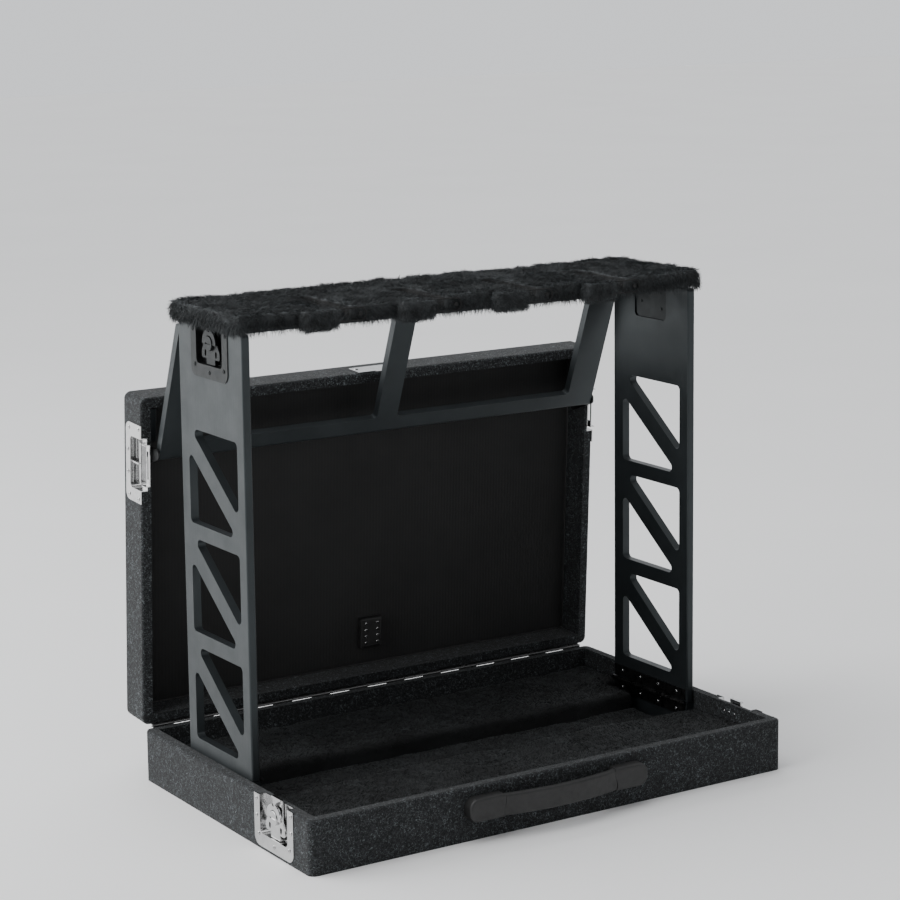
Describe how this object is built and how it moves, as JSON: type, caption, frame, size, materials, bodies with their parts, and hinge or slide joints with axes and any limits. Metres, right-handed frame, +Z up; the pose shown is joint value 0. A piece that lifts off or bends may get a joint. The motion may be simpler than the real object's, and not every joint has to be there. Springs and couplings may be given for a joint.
{
  "type": "folding guitar rack case",
  "caption": "Carpeted case that opens into a guitar rack: plush tray, upright lid, truss side panels and a fur neck rail with slots.",
  "frame": {"origin": "centre of the tray's flat underside", "axes": "+X along the case, +Y from the handle side to the lid, +Z up"},
  "size_m": [0.7748, 0.5618, 0.702],
  "materials": {
    "plywood_edge": "black stained plywood",
    "carpet": "needle-felt carpet, charcoal with pale flecks",
    "lining": "thin black ribbed lining",
    "plush": "crushed black plush",
    "fur": "long black pile",
    "black_ply": "satin black paint on plywood",
    "chrome": "bright plated steel",
    "black_metal": "black powder coat",
    "nickel": "nickel plated",
    "elastic": "black elastic cord",
    "black_plastic": "moulded black plastic"
  },
  "bodies": {
    "root": {"tray_box": "plywood_edge", "tray_carpet": "carpet", "case_hinge_tray_leaf": "nickel", "case_hinge_pin": "nickel", "front_pad": "plush", "trough_pad": "plush", "rear_pad": "plush", "hinge_cleats": "plywood_edge", "panel_hinge_tray_leaves": "black_metal", "panel_hinge_pins": "nickel", "tray_fixings": "nickel", "left_tray_latch_dish": "chrome", "right_tray_latch_dish": "chrome", "tray_latch_housings": "chrome", "handle_caps": "black_plastic"},
    "lid": {"lid_box": "plywood_edge", "lid_carpet": "carpet", "lid_lining": "lining", "case_hinge_lid_leaf": "nickel", "lid_guide_plate": "chrome", "lid_strap_block": "black_metal", "lid_keepers": "chrome", "lid_fixings": "nickel", "lid_end_blocks": "plywood_edge", "brace_pivots": "black_metal"},
    "brace": {"brace_frame": "black_ply", "rail_hinge_brace_leaf": "black_metal", "rail_hinge_pin": "nickel"},
    "rail": {"rail_board": "black_ply", "rail_fur": "fur", "rail_hinge_rail_leaf": "black_metal", "rail_keepers": "black_metal", "finger_pads": "fur", "retaining_loops": "elastic", "loop_studs": "nickel"},
    "left_side": {"left_panel": "black_ply", "left_panel_hinge_leaf": "black_metal", "left_panel_fixings": "nickel", "left_panel_latch_dish": "black_metal", "left_panel_latch_housing": "black_metal"},
    "right_side": {"right_panel": "black_ply", "right_panel_hinge_leaf": "black_metal", "right_panel_fixings": "nickel", "right_panel_latch_dish": "black_metal", "right_panel_latch_housing": "black_metal"},
    "handle": {"handle_grip": "black_plastic"},
    "left_panel_hook": {"left_panel_latch_hook": "black_metal"},
    "left_panel_knob": {"left_panel_latch_knob": "black_metal"},
    "left_panel_wings": {"left_panel_latch_wings": "black_metal"},
    "left_tray_hook": {"left_tray_latch_hook": "chrome"},
    "left_tray_knob": {"left_tray_latch_knob": "chrome"},
    "left_tray_wings": {"left_tray_latch_wings": "chrome"},
    "right_panel_hook": {"right_panel_latch_hook": "black_metal"},
    "right_panel_knob": {"right_panel_latch_knob": "black_metal"},
    "right_panel_wings": {"right_panel_latch_wings": "black_metal"},
    "right_tray_hook": {"right_tray_latch_hook": "chrome"},
    "right_tray_knob": {"right_tray_latch_knob": "chrome"},
    "right_tray_wings": {"right_tray_latch_wings": "chrome"}
  },
  "joints": [
    {"name": "lid_hinge", "type": "hinge", "parent": "root", "child": "lid", "pos_m": [0, 0.2402, 0.075], "axis": [-1, 0, 0], "range_deg": [0, 93]},
    {"name": "brace_hinge", "type": "hinge", "parent": "lid", "child": "brace", "pos_m": [0, 0.2055, 0.475], "axis": [-1, 0, 0], "range_deg": [0, 18]},
    {"name": "rail_hinge", "type": "hinge", "parent": "brace", "child": "rail", "pos_m": [0, 0.1285, 0.674], "axis": [-1, 0, 0], "range_deg": [0, 95]},
    {"name": "left_panel_hinge", "type": "hinge", "parent": "root", "child": "left_side", "pos_m": [-0.353, 0.036, 0.072], "axis": [0, 1, 0], "range_deg": [0, 90]},
    {"name": "right_panel_hinge", "type": "hinge", "parent": "root", "child": "right_side", "pos_m": [0.353, 0.036, 0.056], "axis": [0, -1, 0], "range_deg": [0, 90]},
    {"name": "left_panel_knob_turn", "type": "hinge", "parent": "left_side", "child": "left_panel_knob", "pos_m": [-0.369, 0.036, 0.6515], "axis": [-1, 0, 0], "range_deg": [0, 180]},
    {"name": "left_panel_hook_slide", "type": "slide", "parent": "left_side", "child": "left_panel_hook", "axis": [0, 0, 1], "range_m": [0, 0.008]},
    {"name": "left_panel_wings_fold", "type": "hinge", "parent": "left_panel_knob", "child": "left_panel_wings", "pos_m": [-0.3691, 0.036, 0.6515], "axis": [0, 1, 0], "range_deg": [-90, 0]},
    {"name": "left_tray_knob_turn", "type": "hinge", "parent": "root", "child": "left_tray_knob", "pos_m": [-0.385, -0.143, 0.052], "axis": [-1, 0, 0], "range_deg": [0, 180]},
    {"name": "left_tray_hook_slide", "type": "slide", "parent": "root", "child": "left_tray_hook", "axis": [0, 0, 1], "range_m": [0, 0.008]},
    {"name": "left_tray_wings_fold", "type": "hinge", "parent": "left_tray_knob", "child": "left_tray_wings", "pos_m": [-0.3851, -0.143, 0.052], "axis": [0, 1, 0], "range_deg": [-90, 0]},
    {"name": "right_panel_knob_turn", "type": "hinge", "parent": "right_side", "child": "right_panel_knob", "pos_m": [0.369, 0.036, 0.6515], "axis": [1, 0, 0], "range_deg": [0, 180]},
    {"name": "right_panel_hook_slide", "type": "slide", "parent": "right_side", "child": "right_panel_hook", "axis": [0, 0, 1], "range_m": [0, 0.008]},
    {"name": "right_panel_wings_fold", "type": "hinge", "parent": "right_panel_knob", "child": "right_panel_wings", "pos_m": [0.3691, 0.036, 0.6515], "axis": [0, -1, 0], "range_deg": [-90, 0]},
    {"name": "right_tray_knob_turn", "type": "hinge", "parent": "root", "child": "right_tray_knob", "pos_m": [0.385, -0.143, 0.052], "axis": [1, 0, 0], "range_deg": [0, 180]},
    {"name": "right_tray_hook_slide", "type": "slide", "parent": "root", "child": "right_tray_hook", "axis": [0, 0, 1], "range_m": [0, 0.008]},
    {"name": "right_tray_wings_fold", "type": "hinge", "parent": "right_tray_knob", "child": "right_tray_wings", "pos_m": [0.3851, -0.143, 0.052], "axis": [0, -1, 0], "range_deg": [-90, 0]},
    {"name": "handle_pull", "type": "slide", "parent": "root", "child": "handle", "axis": [0, -1, 0], "range_m": [0, 0.008]}
  ],
  "couplings": [
    {"joint": "left_panel_hook_slide", "follows": "left_panel_knob_turn", "m_per_rad": 0.0025464},
    {"joint": "left_tray_hook_slide", "follows": "left_tray_knob_turn", "m_per_rad": 0.0025464},
    {"joint": "right_panel_hook_slide", "follows": "right_panel_knob_turn", "m_per_rad": 0.0025464},
    {"joint": "right_tray_hook_slide", "follows": "right_tray_knob_turn", "m_per_rad": 0.0025464}
  ]
}
